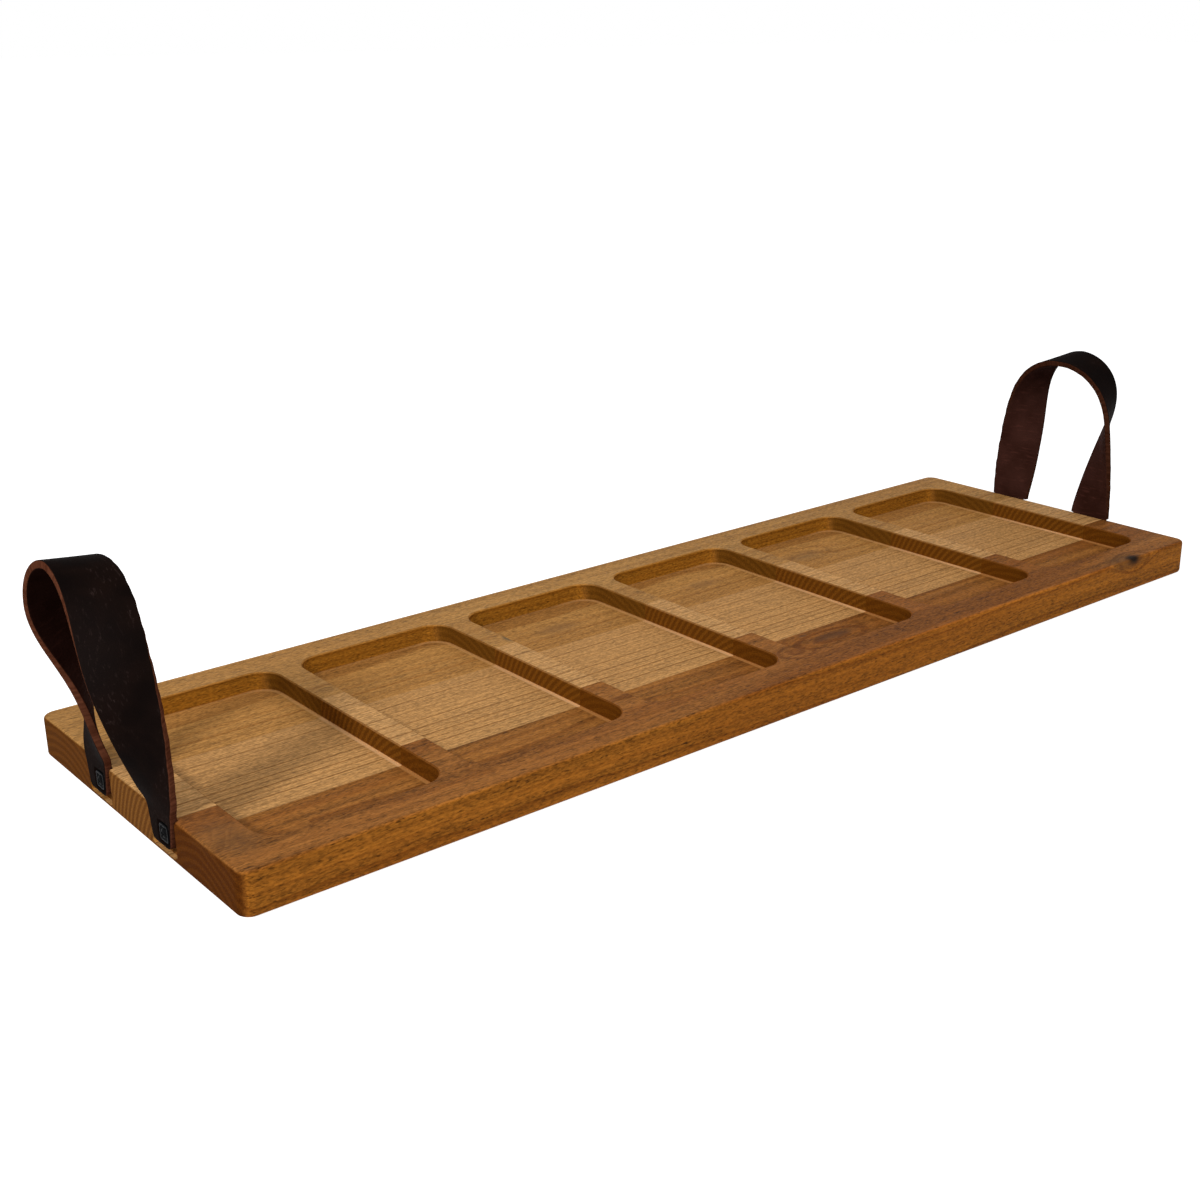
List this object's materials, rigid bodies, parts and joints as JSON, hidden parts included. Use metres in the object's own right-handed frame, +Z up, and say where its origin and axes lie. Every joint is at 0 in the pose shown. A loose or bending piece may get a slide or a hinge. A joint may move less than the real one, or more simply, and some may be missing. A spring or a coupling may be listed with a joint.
{
  "type": "compartment serving tray",
  "caption": "Long wooden serving tray with a row of routed rectangular compartments and a twisted leather strap handle screwed to each end.",
  "frame": {"origin": "middle of the underside of the board", "axes": "+X along the tray towards the right handle, +Y away from the front edge, +Z up"},
  "size_m": [0.7538, 0.22, 0.1346],
  "materials": {
    "front_wood": "oiled, reddish stave",
    "middle_wood": "oiled, pale straight-grained stave",
    "rear_wood": "oiled, mid-brown stave",
    "leather": "dark brown strap leather with raw edges",
    "black_steel": "satin black"
  },
  "bodies": {
    "board": {"front_stave": "front_wood", "middle_stave": "middle_wood", "rear_stave": "rear_wood", "left_front_tail": "leather", "left_rear_tail": "leather", "right_front_tail": "leather", "right_rear_tail": "leather", "left_front_plate": "black_steel", "left_rear_plate": "black_steel", "right_front_plate": "black_steel", "right_rear_plate": "black_steel", "left_front_screw": "black_steel", "left_rear_screw": "black_steel", "right_front_screw": "black_steel", "right_rear_screw": "black_steel"},
    "left_handle": {"left_strap_loop": "leather"},
    "right_handle": {"right_strap_loop": "leather"}
  },
  "joints": [
    {"name": "left_handle_swing", "type": "hinge", "parent": "board", "child": "left_handle", "pos_m": [-0.34947, 0, 0.02428], "axis": [0, 1, 0], "range_deg": [-75, 80], "stiffness_Nm_per_rad": 0.4},
    {"name": "right_handle_swing", "type": "hinge", "parent": "board", "child": "right_handle", "pos_m": [0.34947, 0, 0.02428], "axis": [0, -1, 0], "range_deg": [-75, 80], "stiffness_Nm_per_rad": 0.4}
  ]
}
